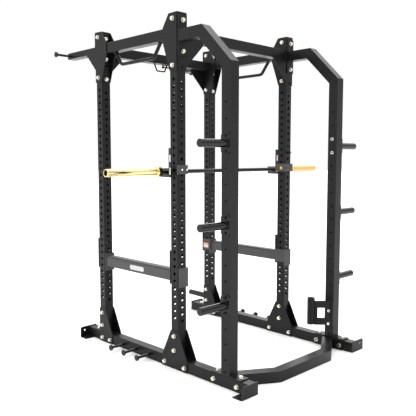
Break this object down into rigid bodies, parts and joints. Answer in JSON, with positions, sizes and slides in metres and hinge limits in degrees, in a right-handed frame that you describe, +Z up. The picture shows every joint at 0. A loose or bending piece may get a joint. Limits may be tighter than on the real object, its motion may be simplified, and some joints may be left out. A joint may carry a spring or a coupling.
{
  "type": "power cage",
  "caption": "Four-post lifting cage with bent rear storage posts, plate horns, racking cups, swing-away safety bars and a loaded-ready barbell.",
  "frame": {"origin": "on the floor, at the middle of the bounding box", "axes": "+X from the near side to the far side along the barbell, +Y from the storage posts to the front uprights, +Z up"},
  "size_m": [2.2, 1.979, 2.39],
  "materials": {
    "frame_black": "matte black powder coat",
    "bracket_gray": "matte charcoal powder coat",
    "horn_black": "semi-gloss black",
    "zinc_steel": "yellowish zinc plate",
    "bar_black": "black oxide, fine knurl",
    "gold_sleeve": "polished gold coating",
    "liner_black": "matte black plastic",
    "liner_ivory": "ivory plastic",
    "cap_plastic": "glossy black plastic"
  },
  "bodies": {
    "frame": {"upright_near_rear": "frame_black", "upright_near_front": "frame_black", "upright_far_rear": "frame_black", "upright_far_front": "frame_black", "upright_caps": "frame_black", "base_rail_near": "frame_black", "base_rail_far": "frame_black", "foot_gussets_near": "frame_black", "foot_gussets_far": "frame_black", "floor_bracket_near_rear": "frame_black", "floor_bracket_near_front": "frame_black", "floor_bracket_far_rear": "frame_black", "floor_bracket_far_front": "frame_black", "side_beam_near": "frame_black", "side_beam_far": "frame_black", "kite_plates_near": "frame_black", "kite_plates_far": "frame_black", "cross_beam_rear": "frame_black", "cross_beam_front": "frame_black", "corner_plates": "frame_black", "front_stub_near": "frame_black", "front_stub_far": "frame_black", "storage_post_near": "frame_black", "storage_post_far": "frame_black", "base_cross_member": "frame_black", "storage_horns_near": "horn_black", "storage_horns_far": "horn_black", "front_horn": "horn_black", "horn_caps": "cap_plastic", "bar_holder": "frame_black", "band_pegs": "horn_black", "side_grip_near": "frame_black", "side_grip_far": "frame_black", "center_loop": "frame_black", "cup_bracket_near": "bracket_gray", "cup_bracket_far": "bracket_gray", "cup_liners": "liner_black", "cup_pads": "liner_ivory", "cup_spacers": "liner_black", "cup_pins": "bar_black", "top_bolts": "zinc_steel", "foot_bolts": "zinc_steel", "post_bolts": "zinc_steel", "horn_bolts": "horn_black", "horn_nuts": "zinc_steel", "holder_bolts": "zinc_steel", "cup_bolts": "zinc_steel"},
    "safety_near": {"safety_tube_near": "bracket_gray", "safety_liner_near": "liner_black", "safety_bracket_near": "bracket_gray", "safety_pins_near": "zinc_steel"},
    "safety_far": {"safety_tube_far": "bracket_gray", "safety_liner_far": "liner_black", "safety_bracket_far": "bracket_gray", "safety_pins_far": "zinc_steel"},
    "barbell": {"bar_shaft": "bar_black"},
    "sleeve_near": {"bar_sleeve_near": "gold_sleeve", "bar_collar_near": "bar_black"},
    "sleeve_far": {"bar_sleeve_far": "gold_sleeve", "bar_collar_far": "bar_black"}
  },
  "joints": [
    {"name": "safety_near_swing", "type": "hinge", "parent": "frame", "child": "safety_near", "pos_m": [-0.5735, 0, 0.785], "axis": [0, -1, 0], "range_deg": [0, 95]},
    {"name": "safety_far_swing", "type": "hinge", "parent": "frame", "child": "safety_far", "pos_m": [0.5735, 0, 0.785], "axis": [0, 1, 0], "range_deg": [0, 95]},
    {"name": "bar_lift", "type": "slide", "parent": "frame", "child": "barbell", "axis": [0, 0, 1], "range_m": [0, 0.4]},
    {"name": "sleeve_near_spin", "type": "hinge", "parent": "barbell", "child": "sleeve_near", "pos_m": [-0.875, -0.2215, 1.3503], "axis": [1, 0, 0], "continuous": true},
    {"name": "sleeve_far_spin", "type": "hinge", "parent": "barbell", "child": "sleeve_far", "pos_m": [0.875, -0.2215, 1.3503], "axis": [1, 0, 0], "continuous": true}
  ]
}
